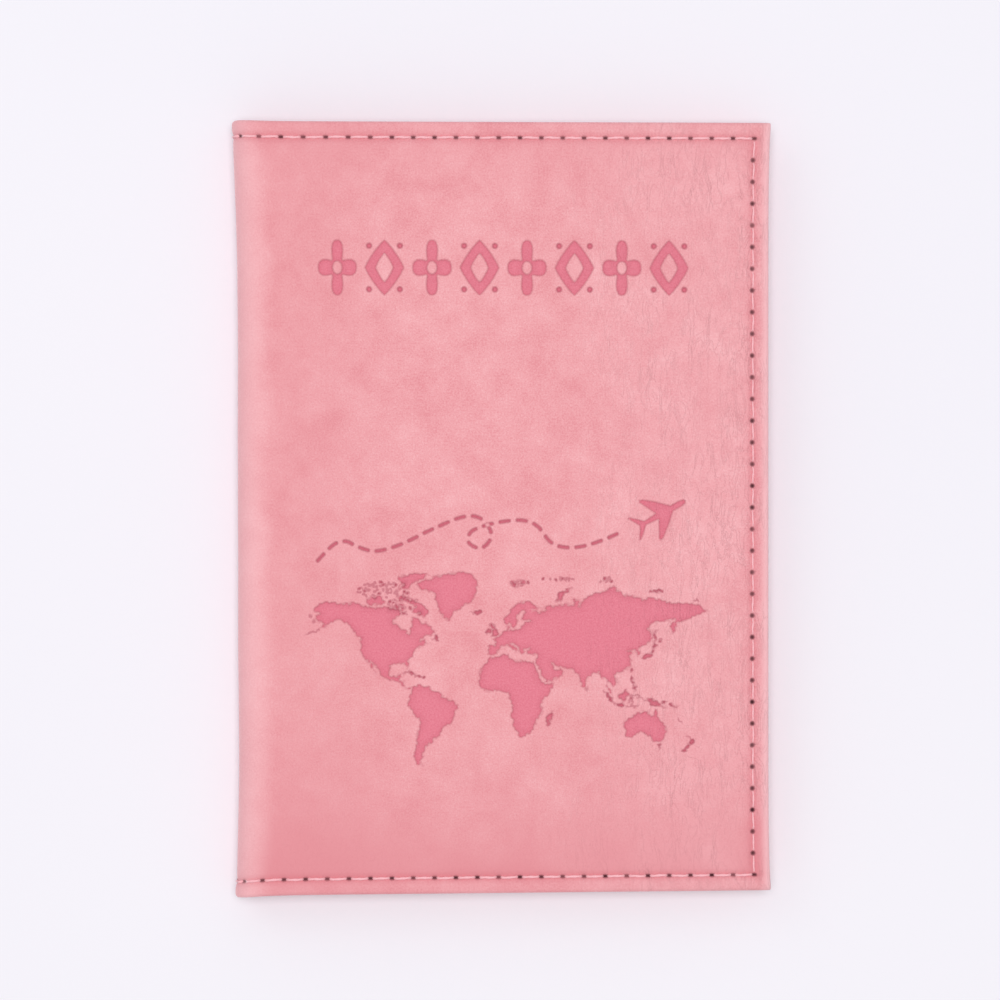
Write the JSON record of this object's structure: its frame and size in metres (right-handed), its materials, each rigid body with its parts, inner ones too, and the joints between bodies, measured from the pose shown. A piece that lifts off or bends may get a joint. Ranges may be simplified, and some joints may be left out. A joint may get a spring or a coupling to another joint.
{
  "type": "passport holder",
  "caption": "Book-style soft cover for a passport booklet, with a debossed front, slip sleeves inside both covers and two card pockets.",
  "frame": {"origin": "under the centre of the closed cover, on the surface that it lies on", "axes": "+X from the spine to the open fore edge, +Y along the spine towards the top of the front cover's artwork, +Z from the back cover up to the front cover"},
  "size_m": [0.1, 0.144, 0.0102],
  "materials": {
    "outer_leather": "soft matte suede-like grain",
    "inner_leather": "matte fine grain",
    "lining": "fine plain weave",
    "foam": "matte",
    "board": "matte pressed fibreboard",
    "interlining": "matte non-woven",
    "thread": "satin twisted polyester"
  },
  "bodies": {
    "back": {"back_skin": "outer_leather", "back_foam": "foam", "back_board": "board", "back_interlining": "interlining", "back_lining": "lining", "back_sleeve": "inner_leather", "back_needle_thread": "thread", "back_bobbin_thread": "thread"},
    "spine": {"spine_skin": "outer_leather", "spine_foam": "foam", "spine_lining": "lining", "spine_needle_thread": "thread", "spine_bobbin_thread": "thread"},
    "front": {"front_skin": "outer_leather", "front_foam": "foam", "front_board": "board", "front_interlining": "interlining", "front_lining": "lining", "front_sleeve": "inner_leather", "front_needle_thread": "thread", "front_bobbin_thread": "thread", "upper_card_pocket": "inner_leather", "lower_card_pocket": "inner_leather", "upper_pocket_stitches": "thread", "lower_pocket_stitches": "thread"}
  },
  "joints": [
    {"name": "back_fold", "type": "hinge", "parent": "back", "child": "spine", "pos_m": [-0.0491, 0, 0.0009], "axis": [0, -1, 0], "range_deg": [0, 90]},
    {"name": "front_fold", "type": "hinge", "parent": "spine", "child": "front", "pos_m": [-0.0491, 0, 0.0093], "axis": [0, -1, 0], "range_deg": [0, 90]}
  ]
}
